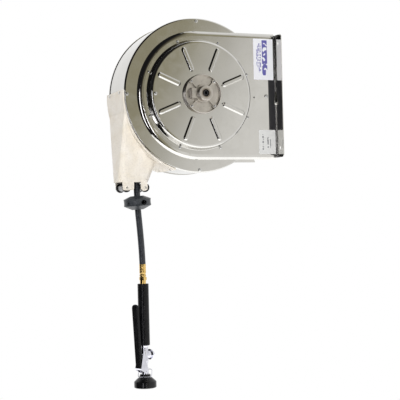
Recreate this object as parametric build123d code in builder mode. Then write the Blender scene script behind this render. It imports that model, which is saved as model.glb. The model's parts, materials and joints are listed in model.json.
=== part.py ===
from build123d import *

import os
from math import cos, pi, radians, sin, sqrt, tan

# A wall-mounted, spring-driven wash-down hose reel in a closed stainless case.
# Origin: centre of the four wall bolts. The wall is the plane X = 0, the reel
# stands out from it along -X, its axle runs along Y and +Z is up. The face with
# the ribbed spring cover looks along -Y. Millimetres.

# ---------------------------------------------------------------- driving dimensions
CASE_RADIUS = 215.0
CASE_DEPTH = 145.0
AXLE_TO_WALL = 238.0
CASE_SHEET = 1.5
ARM_SHEET = 2.0
COVER_SHEET = 1.2

HALF_DEPTH = CASE_DEPTH / 2
AXLE_X = -AXLE_TO_WALL
AXLE = Axis((AXLE_X, 0, 0), (0, 1, 0))
RUNNING_CLEARANCE = 0.05

LIP_DEPTH = 10.0                # how far a case disc's rim is turned back
DISC_BEND = 3.0                 # bend radius on the outside of a case disc's step
RIM_BEND = 4.5                  # and of its rim
DISC_STEP = 5.0                 # the disc's middle is pressed out to meet the arm
STEP_RADIUS = 165.0
DISC_HOLE_RADIUS = 40.0
RIM_SCREW_CIRCLE = 207.0
SHROUD_RADIUS = CASE_RADIUS - CASE_SHEET

ARM_DEPTH = 7.0                 # from the disc to the arm's outer face
ARM_HALF_HEIGHT = 179.0
ARM_ROLL_WIDTH = 14.25          # width of the arm's rolled edge
ARM_ROLL_RADIUS = 18.0
ARM_OPENING_RADIUS = 150.0
ARM_FACE_Y = -HALF_DEPTH - ARM_DEPTH
ARM_FLAT_RADIUS = ARM_HALF_HEIGHT - ARM_ROLL_WIDTH
FOOT_WIDTH = 42.0
FOOT_HALF_HEIGHT = 174.0
FOOT_CORNER_RADIUS = 9.0
FOOT_BEND_RADIUS = 4.0
WALL_BOLT_SPACING_Y = 200.0
WALL_BOLT_SPACING_Z = 296.0
WALL_BOLT_HOLE_RADIUS = 4.5
DART_RADIUS = 7.0               # the stiffening dart pressed into the foot's bend

COVER_RADIUS = 162.5
COVER_WALL_RADIUS = 153.2       # where the wall leaves the flange
COVER_SCREW_CIRCLE = 157.9
COVER_SCREW_COUNT = 8
COVER_HEIGHT = 22.0             # from the arm's face to the cover's ribbed face
COVER_FACE_Y = ARM_FACE_Y - COVER_HEIGHT
COVER_HOLE_RADIUS = 30.0
REAR_COVER_HEIGHT = 12.0
REAR_COVER_FACE_Y = -ARM_FACE_Y + REAR_COVER_HEIGHT
RIB_INNER, RIB_OUTER = 67.0, 138.0
RIB_WIDTH, RIB_HEIGHT = 15.0, 3.4
RIB_TAPER = 48.0                 # how far a rib's side leans, degrees from upright
RIB_CREST_RADIUS = 2.0
RIB_ANGLES = [22.5 + 45 * n for n in range(8)]
ANCHOR_CIRCLE = 135.7           # where the spring's outer end is screwed down

HUB_RADIUS = 54.5
HUB_HEIGHT = 12.0
HUB_RIM = 3.2
HUB_FLOOR = 5.0
HUB_SCREW_CIRCLE = 47.6
HUB_SCREW_DROP = 1.8            # from the rim down to the screws' seats
HUB_BOSS_RADIUS = 21.5
HUB_BOSS_HEIGHT = 31.5
REAR_BOSS_HEIGHT = 26.0
SHAFT_RADIUS = 10.0
SHAFT_CHAMFER = 3.0
BUSH_RADIUS = 13.0
SHAFT_FRONT_Y = COVER_FACE_Y - HUB_BOSS_HEIGHT + 1.5
WATERWAY_RADIUS = 5.0
SWIVEL_RADIUS = 19.0
SWIVEL_START_Y = REAR_COVER_FACE_Y + REAR_BOSS_HEIGHT + 1.0
SWIVEL_LENGTH = 34.0
SHAFT_REAR_Y = SWIVEL_START_Y + 16.0

DRUM_HALF_WIDTH = 60.0
DRUM_SHEET = 2.0
DRUM_FLANGE_RADIUS = 196.0
BARREL_RADIUS = 95.0
HOSE_DIAMETER = 17.4
HOSE_TURNS = 6
WOUND_OUTER_RADIUS = 173.5

SADDLE_INNER_RADIUS = CASE_RADIUS + 0.3
SADDLE_OUTER_RADIUS = 219.5
SADDLE_HALF_DEPTH = HALF_DEPTH + 0.5
SADDLE_START, SADDLE_END = 177.0, 251.0     # degrees round the axle
SADDLE_SCREW_Y = 44.5
CHUTE_WALL = 3.0
CHUTE_TOP_Z, MOUTH_Z = -50.0, -238.0
CHUTE_TOP_LEFT, CHUTE_TOP_RIGHT, CHUTE_TOP_HALF_DEPTH = -215.0, -68.0, 72.0
MOUTH_LEFT, MOUTH_RIGHT, MOUTH_HALF_DEPTH = -222.0, -134.5, 34.0
CHUTE_TOP_CORNER, MOUTH_CORNER = 6.0, 20.0
TAB_SHEET = 3.0
TAB_CORNER = 6.0
ROLLER_Z = -253.0
ROLLER_RADIUS = 9.0
ROLLER_BUSH_RADIUS = 12.5
ROLLER_BUSH_WIDTH = 6.0
ROLLER_PIN_RADIUS = 3.0
LEFT_ROLLER_X, RIGHT_ROLLER_X = AXLE_X - 200.5, AXLE_X - 147.0
CROSS_ROLLER_Z = -222.0
CROSS_ROLLER_RADIUS = 5.5
CROSS_ROLLER_Y = 27.5
CROSS_PIN_RADIUS = 2.0

HOSE_RADIUS = HOSE_DIAMETER / 2
HOSE_X, HOSE_Y = AXLE_X - 165.2, -12.5
INNER_RUN_TOP_Z, HOSE_EXIT_Z = -80.0, -250.0
TOOL_X, TOOL_TOP_Z = AXLE_X - 153.8, -464.5
LEVER_AZIMUTH = 204.0           # which way the spray lever faces, degrees from +X

# The hanging hose, from the rollers down to the brass ferrule.
HOSE_ROUTE = [
    (HOSE_X, HOSE_Y, HOSE_EXIT_Z),
    (AXLE_X - 165.1, HOSE_Y, -284.0),
    (AXLE_X - 163.2, HOSE_Y, -320.0),
    (AXLE_X - 160.0, HOSE_Y, -356.0),
    (AXLE_X - 157.2, HOSE_Y, -393.0),
    (AXLE_X - 154.9, HOSE_Y, -430.0),
    (TOOL_X, HOSE_Y, TOOL_TOP_Z),
]

os.makedirs("parts", exist_ok=True)


# ---------------------------------------------------------------- planes and helpers
def facing_front(y):
    """The upright plane at that Y, centred on the axle, whose normal is -Y."""
    return Plane(origin=(AXLE_X, y, 0), x_dir=(1, 0, 0), z_dir=(0, -1, 0))


def facing_rear(y):
    """The upright plane at that Y, centred on the axle, whose normal is +Y."""
    return Plane(origin=(AXLE_X, y, 0), x_dir=(-1, 0, 0), z_dir=(0, 1, 0))


# Profiles of turned pieces: local x is the radius from the axle, local y is Y.
SECTION = Plane(origin=(AXLE_X, 0, 0), x_dir=(1, 0, 0), z_dir=(0, 0, 1))


def save(part, label):
    part.label = label
    export_step(part, f"parts/{label}.step")


def polar(radius, angle):
    """Local x and y of a point at that radius and that angle in degrees."""
    return radius * cos(radians(angle)), radius * sin(radians(angle))


def largest_radii(route):
    """The largest arc that each corner of a route leaves room for."""
    radii = []
    for before, corner, after in zip(route, route[1:], route[2:]):
        run_in = Vector(*corner) - Vector(*before)
        run_out = Vector(*after) - Vector(*corner)
        half_turn = radians(run_in.get_angle(run_out)) / 2
        radii.append(0.45 * min(run_in.length, run_out.length) / tan(half_turn))
    return radii


def bent_sheet(points, radii, thickness):
    """The section of a bent sheet. The points are its outer side, and the sheet lies
    to the right of the path."""
    with BuildSketch(Plane.XY) as section:
        with BuildLine():
            FilletPolyline(*points, radius=radii)
            offset(amount=thickness, side=Side.RIGHT)
        make_face()
    return section.sketch


def turned(points):
    """A solid turned about the axle from a (radius, Y) outline."""
    with BuildPart() as piece:
        with BuildSketch(SECTION):
            with BuildLine():
                Polyline(*points, close=True)
            make_face()
        revolve(axis=AXLE)
    return piece.part


def ring(y_from, y_to, outer, inner):
    """A plain turned ring or, with inner = 0, a plain turned disc."""
    return turned([(inner, y_from), (outer, y_from), (outer, y_to), (inner, y_to)])


def screws(locations, head_y, grip, head_radius=4.2, head_height=2.6, shank_radius=2.5):
    """Pan-head screws with a cross recess, driven towards +Y at local spots."""
    with BuildPart() as group:
        with BuildSketch(facing_front(head_y)):
            with Locations(*locations):
                Circle(head_radius)
        extrude(amount=head_height)
        fillet(group.edges().group_by(Axis.Y)[0], radius=head_height * 0.8)
        with BuildSketch(facing_front(head_y - head_height)):
            with Locations(*locations):
                Rectangle(head_radius, 0.9)
                Rectangle(0.9, head_radius)
        extrude(amount=-head_height * 0.6, mode=Mode.SUBTRACT)
        with BuildSketch(facing_rear(head_y)):
            with Locations(*[(-x, z) for x, z in locations]):
                Circle(shank_radius)
        extrude(amount=grip)
    return group.part


def hex_nuts(locations, front_y, height, across_corners, hole_radius):
    with BuildPart() as group:
        with BuildSketch(facing_front(front_y)):
            with Locations(*locations):
                RegularPolygon(radius=across_corners / 2, side_count=6)
                Circle(hole_radius, mode=Mode.SUBTRACT)
        extrude(amount=-height)
    return group.part


def save_mirrored(part, label):
    """The same piece on the reel's other side."""
    with BuildPart() as copy:
        mirror(part, about=Plane.XZ)
    save(copy.part, label)


def save_both_sides(part, label):
    """The same fasteners on both sides of the reel, as one group."""
    with BuildPart() as pair:
        add(part)
        mirror(about=Plane.XZ)
    save(pair.part, label)


COVER_SCREW_SPOTS = [
    polar(COVER_SCREW_CIRCLE, 22.5 + 360 / COVER_SCREW_COUNT * n)
    for n in range(COVER_SCREW_COUNT)
]
RIM_SCREW_SPOTS = [polar(RIM_SCREW_CIRCLE, angle) for angle in (90, 180, 270)]
HUB_SCREW_SPOTS = [polar(HUB_SCREW_CIRCLE, angle) for angle in (45, 135, 225, 315)]
ARM_SCREW_SPOT = (205.8, 0.3)
TIE_ROD_SPOTS = [*RIM_SCREW_SPOTS, ARM_SCREW_SPOT]
PILOT_HOLE_SPOT = (167.9, -3.3)
SCREW_HOLE_RADIUS = 2.6
TIE_ROD_THREAD = 2.0


# ---------------------------------------------------------------- the case
def make_case_disc():
    with BuildPart() as disc:
        with BuildSketch(SECTION):
            add(bent_sheet(
                [
                    (CASE_RADIUS, -HALF_DEPTH + LIP_DEPTH),
                    (CASE_RADIUS, -HALF_DEPTH),
                    (STEP_RADIUS + 6.5, -HALF_DEPTH),
                    (STEP_RADIUS, -HALF_DEPTH - DISC_STEP),
                    (DISC_HOLE_RADIUS, -HALF_DEPTH - DISC_STEP),
                ],
                [RIM_BEND, DISC_BEND, DISC_BEND],
                CASE_SHEET,
            ))
        revolve(axis=AXLE)
        with BuildSketch(facing_front(-HALF_DEPTH + LIP_DEPTH)):
            with Locations(*COVER_SCREW_SPOTS, *TIE_ROD_SPOTS):
                Circle(SCREW_HOLE_RADIUS)
        extrude(amount=LIP_DEPTH + 2 * DISC_STEP, mode=Mode.SUBTRACT)
    return disc.part


def make_case_shroud():
    with BuildPart() as shroud:
        with BuildSketch(facing_rear(-HALF_DEPTH + 2 * DISC_BEND)):
            Circle(SHROUD_RADIUS)
            Circle(SHROUD_RADIUS - CASE_SHEET, mode=Mode.SUBTRACT)
        extrude(amount=CASE_DEPTH - 4 * DISC_BEND)
        # the slot under the outlet that the hose comes out of
        with BuildSketch(Plane.XY.offset(CHUTE_TOP_Z - 40)):
            with Locations((HOSE_X, 0)):
                Rectangle(64, 90)
        extrude(amount=-CASE_RADIUS, mode=Mode.SUBTRACT)
    return shroud.part


def make_tie_rods():
    """Four hexagon rods that the rim and arm screws pull the case together on."""
    thread_depth = 14
    with BuildPart() as rods:
        with BuildSketch(facing_front(HALF_DEPTH - CASE_SHEET)):
            with Locations(*TIE_ROD_SPOTS):
                RegularPolygon(radius=4.0, side_count=6)
        extrude(amount=CASE_DEPTH - 2 * CASE_SHEET)
        for y in (-HALF_DEPTH + thread_depth, HALF_DEPTH):
            with BuildSketch(facing_front(y)):
                with Locations(*TIE_ROD_SPOTS):
                    Circle(TIE_ROD_THREAD)
            extrude(amount=thread_depth, mode=Mode.SUBTRACT)
    return rods.part


case_disc = make_case_disc()
rim_screws = screws(
    RIM_SCREW_SPOTS, -HALF_DEPTH, grip=11, head_radius=4.6, shank_radius=TIE_ROD_THREAD
)
save(case_disc, "front_case_disc")
save_mirrored(case_disc, "rear_case_disc")
save(make_case_shroud(), "case_shroud")
save(make_tie_rods(), "case_tie_rods")
save_both_sides(rim_screws, "rim_screws")


# ---------------------------------------------------------------- the wall arms
def arm_section():
    """Half the arm's upright section: the flat face and its rolled edge."""
    inner = ARM_ROLL_RADIUS - ARM_SHEET
    drop = ARM_ROLL_RADIUS - ARM_DEPTH
    face_start = (0, ARM_FACE_Y)
    roll_start = (ARM_FLAT_RADIUS, ARM_FACE_Y)
    roll_end = (ARM_FLAT_RADIUS + sqrt(ARM_ROLL_RADIUS**2 - drop**2), -HALF_DEPTH)
    inner_roll_end = (ARM_FLAT_RADIUS + sqrt(inner**2 - drop**2), -HALF_DEPTH)
    inner_roll_start = (ARM_FLAT_RADIUS, ARM_FACE_Y + ARM_SHEET)
    with BuildSketch(Plane.XY) as section:
        with BuildLine():
            Line(face_start, roll_start)
            RadiusArc(roll_start, roll_end, -ARM_ROLL_RADIUS)
            Line(roll_end, inner_roll_end)
            RadiusArc(inner_roll_end, inner_roll_start, inner)
            Polyline(inner_roll_start, (0, ARM_FACE_Y + ARM_SHEET), face_start)
        make_face()
    return section.sketch


def make_arm():
    face_length = AXLE_TO_WALL - ARM_SHEET
    upright = Plane(origin=(AXLE_X, 0, 0), x_dir=(0, 0, 1), z_dir=(-1, 0, 0))
    upside_down = Plane(origin=(AXLE_X, 0, 0), x_dir=(0, 0, -1), z_dir=(1, 0, 0))
    with BuildPart() as arm:
        # the half-round free end, then the straight part out to the foot
        with BuildSketch(upright):
            add(arm_section())
        revolve(axis=AXLE, revolution_arc=-180)
        with BuildSketch(upright):
            add(arm_section())
        extrude(amount=-face_length)
        with BuildSketch(upside_down):
            add(arm_section())
        extrude(amount=face_length)
        # the foot, bent outward and flat against the wall
        with BuildSketch(SECTION):
            add(bent_sheet(
                [
                    (AXLE_TO_WALL - 12, ARM_FACE_Y + ARM_SHEET),
                    (AXLE_TO_WALL, ARM_FACE_Y + ARM_SHEET),
                    (AXLE_TO_WALL, ARM_FACE_Y - FOOT_WIDTH),
                ],
                [FOOT_BEND_RADIUS],
                ARM_SHEET,
            ))
        extrude(amount=FOOT_HALF_HEIGHT, both=True)
        foot_corners = (
            arm.edges()
            .filter_by(Axis.X)
            .group_by(Axis.Y)[0]
        )
        fillet(foot_corners, radius=FOOT_CORNER_RADIUS)
        # the opening that the cover closes, and the holes
        with BuildSketch(facing_front(0)):
            Circle(ARM_OPENING_RADIUS)
            with Locations(*COVER_SCREW_SPOTS, ARM_SCREW_SPOT, PILOT_HOLE_SPOT):
                Circle(SCREW_HOLE_RADIUS)
        extrude(amount=CASE_RADIUS, mode=Mode.SUBTRACT)
        with BuildSketch(Plane.YZ.offset(-2 * ARM_SHEET)):
            with GridLocations(WALL_BOLT_SPACING_Y, WALL_BOLT_SPACING_Z, 2, 2):
                Circle(WALL_BOLT_HOLE_RADIUS)
        extrude(amount=3 * ARM_SHEET, mode=Mode.SUBTRACT)
        add(make_dart())
    return arm.part


def make_dart():
    """The drop-shaped stiffening dart in the corner between the arm and its foot."""
    corner = Plane(
        origin=(-ARM_SHEET, ARM_FACE_Y, 0), x_dir=(-1, 0, 0), z_dir=(0, 1, 0)
    )
    tip_z, round_z = 20.0, -18.0
    with BuildPart() as dart:
        with BuildSketch(corner):
            with BuildLine():
                ThreePointArc(
                    (0, round_z - DART_RADIUS),
                    (DART_RADIUS * 0.707, round_z - DART_RADIUS * 0.707),
                    (DART_RADIUS, round_z),
                )
                Polyline((DART_RADIUS, round_z), (0, tip_z), (0, round_z - DART_RADIUS))
            make_face()
        revolve(axis=Axis((-ARM_SHEET, ARM_FACE_Y, 0), (0, 0, 1)))
        split(bisect_by=Plane.YZ.offset(-ARM_SHEET), keep=Keep.BOTTOM)
        split(bisect_by=Plane.XZ.offset(-ARM_FACE_Y), keep=Keep.TOP)
    return dart.part


arm = make_arm()
arm_screw = screws(
    [ARM_SCREW_SPOT], ARM_FACE_Y, grip=18, head_radius=5.2, shank_radius=TIE_ROD_THREAD
)
save(arm, "front_arm")
save_mirrored(arm, "rear_arm")
save_both_sides(arm_screw, "arm_screws")


def make_label(left, right, bottom, top):
    """A printed foil label on the front arm's flat face."""
    with BuildPart() as label:
        with BuildSketch(facing_front(ARM_FACE_Y)):
            with Locations(((left + right) / 2, (bottom + top) / 2)):
                RectangleRounded(right - left, top - bottom, 1.5)
        extrude(amount=0.25)
        add(make_dart(), mode=Mode.SUBTRACT)
    return label.part


save(make_label(169, 230, 47, 164), "white_label")
save(make_label(213, 233, -95, 46.5), "black_label")
save(make_label(180, 232, -164, -95.5), "small_label")


# ---------------------------------------------------------------- the spring cover
def make_front_cover():
    inner_face_y = COVER_FACE_Y + COVER_SHEET
    with BuildPart() as cover:
        with BuildSketch(SECTION):
            add(bent_sheet(
                [
                    (COVER_RADIUS, ARM_FACE_Y - COVER_SHEET),
                    (COVER_WALL_RADIUS, ARM_FACE_Y - COVER_SHEET),
                    (COVER_WALL_RADIUS - 5.7, COVER_FACE_Y),
                    (COVER_HOLE_RADIUS, COVER_FACE_Y),
                ],
                [1.5, 8.0],
                COVER_SHEET,
            ))
        revolve(axis=AXLE)
        # the ribs, raised outside and hollow inside with a wall as thick as the sheet
        lean = radians(RIB_TAPER)
        inner_allowance = 2 * COVER_SHEET * (1 / cos(lean) - tan(lean))
        rib_length = RIB_OUTER - RIB_INNER
        rib_places = [
            Location((*polar((RIB_INNER + RIB_OUTER) / 2, angle), 0), angle)
            for angle in RIB_ANGLES
        ]
        for place in rib_places:
            with BuildSketch(facing_front(COVER_FACE_Y)):
                with Locations(place):
                    SlotOverall(rib_length, RIB_WIDTH)
            extrude(amount=RIB_HEIGHT, taper=RIB_TAPER)
        fillet(cover.edges().group_by(Axis.Y)[0], radius=RIB_CREST_RADIUS)
        for place in rib_places:
            with BuildSketch(facing_front(inner_face_y)):
                with Locations(place):
                    SlotOverall(rib_length - inner_allowance, RIB_WIDTH - inner_allowance)
            extrude(amount=RIB_HEIGHT, taper=RIB_TAPER, mode=Mode.SUBTRACT)
        weep_holes = [polar(RIB_INNER - 1.5, angle) for angle in (22.5, -22.5)]
        with BuildSketch(facing_front(ARM_FACE_Y)):
            with Locations(*COVER_SCREW_SPOTS, (-ANCHOR_CIRCLE, -0.7)):
                Circle(SCREW_HOLE_RADIUS)
            with Locations(*weep_holes):
                Circle(1.8)
            with Locations(*HUB_SCREW_SPOTS):
                Circle(2.1)
        extrude(amount=COVER_HEIGHT + 2, mode=Mode.SUBTRACT)
    return cover.part


def make_rear_cover():
    with BuildPart() as cover:
        with BuildSketch(SECTION):
            add(bent_sheet(
                [
                    (COVER_RADIUS, ARM_FACE_Y - COVER_SHEET),
                    (COVER_WALL_RADIUS, ARM_FACE_Y - COVER_SHEET),
                    (COVER_WALL_RADIUS - 4, ARM_FACE_Y - REAR_COVER_HEIGHT),
                    (COVER_HOLE_RADIUS, ARM_FACE_Y - REAR_COVER_HEIGHT),
                ],
                [1.5, 5.0],
                COVER_SHEET,
            ))
        revolve(axis=AXLE)
        with BuildSketch(facing_front(ARM_FACE_Y)):
            with Locations(*COVER_SCREW_SPOTS):
                Circle(SCREW_HOLE_RADIUS)
            with Locations(*HUB_SCREW_SPOTS):
                Circle(2.1)
        extrude(amount=REAR_COVER_HEIGHT + 2, mode=Mode.SUBTRACT)
        mirror(about=Plane.XZ, mode=Mode.REPLACE)
    return cover.part


cover_screws = screws(
    COVER_SCREW_SPOTS, ARM_FACE_Y - COVER_SHEET, grip=9, head_radius=3.5
)
cover_nuts = hex_nuts(COVER_SCREW_SPOTS, -HALF_DEPTH - DISC_STEP + CASE_SHEET, 3.0, 9.2, 2.5)
save(make_front_cover(), "front_cover")
save(make_rear_cover(), "rear_cover")
save_both_sides(cover_screws, "cover_screws")
save_both_sides(cover_nuts, "cover_nuts")


# ---------------------------------------------------------------- the hub castings
def make_hub(face_y, boss_height, with_lug):
    """A cast hub on a cover: rim, floor, four screw bosses with ribs, and the boss
    that carries the axle. face_y is how far out the cover's face is."""
    with BuildPart() as hub:
        with BuildSketch(facing_front(-face_y)):
            Circle(HUB_RADIUS)
        extrude(amount=HUB_HEIGHT, taper=4)
        fillet(hub.edges().group_by(Axis.Y)[0], radius=1.5)
        with BuildSketch(facing_front(-face_y - HUB_FLOOR)):
            Circle(HUB_RADIUS - HUB_RIM)
        extrude(amount=HUB_HEIGHT, mode=Mode.SUBTRACT)
        # screw bosses, and the ribs from them to the middle
        with BuildSketch(facing_front(-face_y)):
            with Locations(*HUB_SCREW_SPOTS):
                Circle(6.2)
            for angle in (45, 135, 225, 315):
                with Locations(Location((*polar(HUB_SCREW_CIRCLE / 2, angle), 0), angle)):
                    Rectangle(HUB_SCREW_CIRCLE, 4.6)
        extrude(amount=HUB_HEIGHT - HUB_SCREW_DROP)
        # the boss, stepped and turned
        with BuildSketch(facing_front(-face_y)):
            Circle(HUB_BOSS_RADIUS + 5)
        extrude(amount=HUB_HEIGHT + 1.5, taper=8)
        with BuildSketch(facing_front(-face_y)):
            Circle(HUB_BOSS_RADIUS)
        extrude(amount=boss_height, taper=2)
        fillet(hub.edges().group_by(Axis.Y)[0], radius=2.0)
        if with_lug:
            with BuildSketch(facing_front(-face_y)):
                with Locations((-28, 0)):
                    RectangleRounded(22, 31, 4)
            extrude(amount=HUB_HEIGHT + 8, taper=6)
        # the spigot that centres the hub in the cover
        with BuildSketch(facing_rear(-face_y)):
            Circle(COVER_HOLE_RADIUS - 0.2)
        extrude(amount=3.0)
        with BuildSketch(facing_front(-face_y + 3.0)):
            Circle(BUSH_RADIUS)
            with Locations(*HUB_SCREW_SPOTS):
                Circle(2.1)
        extrude(amount=boss_height + 6, mode=Mode.SUBTRACT)
    return hub.part


def make_hub_screws():
    seat = HUB_HEIGHT - HUB_SCREW_DROP
    with BuildPart() as group:
        add(screws(HUB_SCREW_SPOTS, -REAR_COVER_FACE_Y - seat, 13.0, 3.4, 2.2, 2.0))
        mirror(about=Plane.XZ, mode=Mode.REPLACE)
        add(screws(HUB_SCREW_SPOTS, COVER_FACE_Y - seat, 13.0, 3.4, 2.2, 2.0))
    return group.part


def make_shaft_bushes():
    bore = SHAFT_RADIUS + RUNNING_CLEARANCE
    with BuildPart() as bushes:
        front_y = COVER_FACE_Y - HUB_BOSS_HEIGHT + 0.8
        rear_y = REAR_COVER_FACE_Y + REAR_BOSS_HEIGHT - 0.5
        add(ring(front_y, COVER_FACE_Y + 3.0, BUSH_RADIUS, bore))
        add(ring(REAR_COVER_FACE_Y - 3.0, rear_y, BUSH_RADIUS, bore))
    return bushes.part


front_hub = make_hub(-COVER_FACE_Y, HUB_BOSS_HEIGHT, with_lug=True)
rear_hub = make_hub(REAR_COVER_FACE_Y, REAR_BOSS_HEIGHT, with_lug=False)
save(front_hub, "front_hub")
save_mirrored(rear_hub, "rear_hub")
save(make_hub_screws(), "hub_screws")
save(make_shaft_bushes(), "shaft_bushes")
save(screws([(-ANCHOR_CIRCLE, -0.7)], COVER_FACE_Y, 8.0, 5.0, 2.8), "spring_anchor_screw")


# ---------------------------------------------------------------- drum and power spring
def make_shaft():
    port_y = -20.0
    with BuildPart() as shaft:
        with BuildSketch(SECTION):
            with BuildLine():
                Polyline(
                    (0, SHAFT_FRONT_Y),
                    (SHAFT_RADIUS - SHAFT_CHAMFER, SHAFT_FRONT_Y),
                    (SHAFT_RADIUS, SHAFT_FRONT_Y + SHAFT_CHAMFER),
                    (SHAFT_RADIUS, SHAFT_REAR_Y),
                    (WATERWAY_RADIUS, SHAFT_REAR_Y),
                    (WATERWAY_RADIUS, port_y - 8),
                    (0, port_y - 12),
                    close=True,
                )
            make_face()
        revolve(axis=AXLE)
        # the square socket in the front end, for winding the spring up
        with BuildSketch(facing_front(SHAFT_FRONT_Y)):
            Rectangle(9.5, 9.5)
        extrude(amount=-10, mode=Mode.SUBTRACT)
        with BuildSketch(Plane(origin=(AXLE_X, port_y, 0), z_dir=(0, 0, 1))):
            Circle(4.0)
        extrude(amount=SHAFT_RADIUS + 1, mode=Mode.SUBTRACT)
    return shaft.part


def make_riser():
    """The pipe that takes the water from the axle out to the wound hose."""
    with BuildPart() as riser:
        with BuildSketch(Plane(origin=(AXLE_X, -20.0, 0), z_dir=(0, 0, 1))):
            Circle(8.0)
        extrude(amount=BARREL_RADIUS - DRUM_SHEET - 1)
        with BuildSketch(Plane(origin=(AXLE_X, -20.0, 60), z_dir=(0, 0, 1))):
            RegularPolygon(radius=13, side_count=6)
        extrude(amount=14)
        with BuildSketch(Plane(origin=(AXLE_X, -20.0, 0), z_dir=(0, 0, 1))):
            Circle(4.0)
        extrude(amount=BARREL_RADIUS, mode=Mode.SUBTRACT)
        add(ring(-60, 60, SHAFT_RADIUS, 0), mode=Mode.SUBTRACT)
    return riser.part


def make_drum_flange():
    outer_y = -DRUM_HALF_WIDTH - DRUM_SHEET
    with BuildPart() as flange:
        add(ring(outer_y, -DRUM_HALF_WIDTH, DRUM_FLANGE_RADIUS, SHAFT_RADIUS))
        add(ring(-DRUM_HALF_WIDTH, -DRUM_HALF_WIDTH + 12, 22, SHAFT_RADIUS))
        with BuildSketch(facing_front(-DRUM_HALF_WIDTH)):
            with PolarLocations(58, 6):
                Circle(15)
        extrude(amount=DRUM_SHEET, mode=Mode.SUBTRACT)
    return flange.part


def make_wound_hose():
    """The hose on the drum as one solid, with the outer layer's turns showing."""
    pitch = 2 * DRUM_HALF_WIDTH / (HOSE_TURNS + 0.2)
    crest = WOUND_OUTER_RADIUS - HOSE_RADIUS
    with BuildPart() as hose:
        add(ring(-DRUM_HALF_WIDTH + 2, DRUM_HALF_WIDTH - 2, crest, BARREL_RADIUS))
        with BuildSketch(SECTION):
            for n in range(HOSE_TURNS):
                with Locations((crest, (n - (HOSE_TURNS - 1) / 2) * pitch)):
                    Circle(HOSE_RADIUS)
        revolve(axis=AXLE)
    return hose.part


def make_power_spring():
    """A flat spiral of half circles about two centres, shut up in the front cover."""
    strip, pitch, turns = 1.0, 14.1, 8
    inner_radius, width = 30.0, 17.0
    with BuildPart() as spring:
        with BuildSketch(facing_front(ARM_FACE_Y - 0.5)):
            for n in range(2 * turns):
                radius = inner_radius + n * pitch / 2
                side = -1 if n % 2 == 0 else 1
                centre = (pitch / 4 * side, 0)
                with BuildLine():
                    start = 0 if side < 0 else 180
                    outer = CenterArc(centre, radius + strip / 2, start, 180)
                    inner = CenterArc(centre, radius - strip / 2, start, 180)
                    Line(outer @ 0, inner @ 0)
                    Line(outer @ 1, inner @ 1)
                make_face()
        extrude(amount=width)
    return spring.part


def make_ratchet_wheel():
    tooth_count, tip, root = 24, 45.0, 39.0
    outline = []
    for n in range(tooth_count):
        angle = 360 / tooth_count * n
        outline.append(polar(root, angle))
        outline.append(polar(tip, angle + 1))
    with BuildPart() as wheel:
        with BuildSketch(facing_rear(DRUM_HALF_WIDTH + DRUM_SHEET + 1)):
            Polygon(*outline, align=None)
            Circle(SHAFT_RADIUS, mode=Mode.SUBTRACT)
        extrude(amount=6)
    return wheel.part


PAWL_PIVOT = (62.0, 24.0)       # X from the axle, and Z


def make_pawl():
    with BuildPart() as pawl:
        with BuildSketch(facing_front(69)):
            with Locations(PAWL_PIVOT):
                Circle(8)
            with BuildLine():
                Polyline(
                    (PAWL_PIVOT[0] - 6, PAWL_PIVOT[1] + 5),
                    (PAWL_PIVOT[0] + 6, PAWL_PIVOT[1] + 5),
                    (PAWL_PIVOT[0] + 4, PAWL_PIVOT[1] - 16),
                    (PAWL_PIVOT[0] - 9, PAWL_PIVOT[1] - 27),
                    close=True,
                )
            make_face()
            with Locations(PAWL_PIVOT):
                Circle(3 + RUNNING_CLEARANCE, mode=Mode.SUBTRACT)
        extrude(amount=5)
    return pawl.part


def make_pawl_pin():
    rear_inner_y = HALF_DEPTH + DISC_STEP - CASE_SHEET
    with BuildPart() as pin:
        with BuildSketch(facing_front(rear_inner_y)):
            with Locations(PAWL_PIVOT):
                Circle(3)
        extrude(amount=rear_inner_y - 63.2)
        with BuildSketch(facing_front(rear_inner_y)):
            with Locations(PAWL_PIVOT):
                Circle(6)
        extrude(amount=6)
    return pin.part


save(make_shaft(), "shaft")
save(make_riser(), "drum_riser")
drum_flange = make_drum_flange()
save(drum_flange, "drum_flange_front")
save_mirrored(drum_flange, "drum_flange_rear")
save(ring(-DRUM_HALF_WIDTH, DRUM_HALF_WIDTH, BARREL_RADIUS, BARREL_RADIUS - DRUM_SHEET),
     "drum_barrel")
save(make_wound_hose(), "wound_hose")
save(ring(COVER_FACE_Y + 4.5, ARM_FACE_Y - 0.5, 25.5, SHAFT_RADIUS), "spring_arbor")
save(make_power_spring(), "power_spring")
save(make_ratchet_wheel(), "ratchet_wheel")
save(make_pawl(), "pawl")
save(make_pawl_pin(), "pawl_pin")


# ---------------------------------------------------------------- the water inlet
INLET_DROP = 52.0               # from the axle down to the inlet's mouth
INLET_THREAD_RADIUS, INLET_THREAD_LENGTH = 9.5, 15.0


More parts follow.
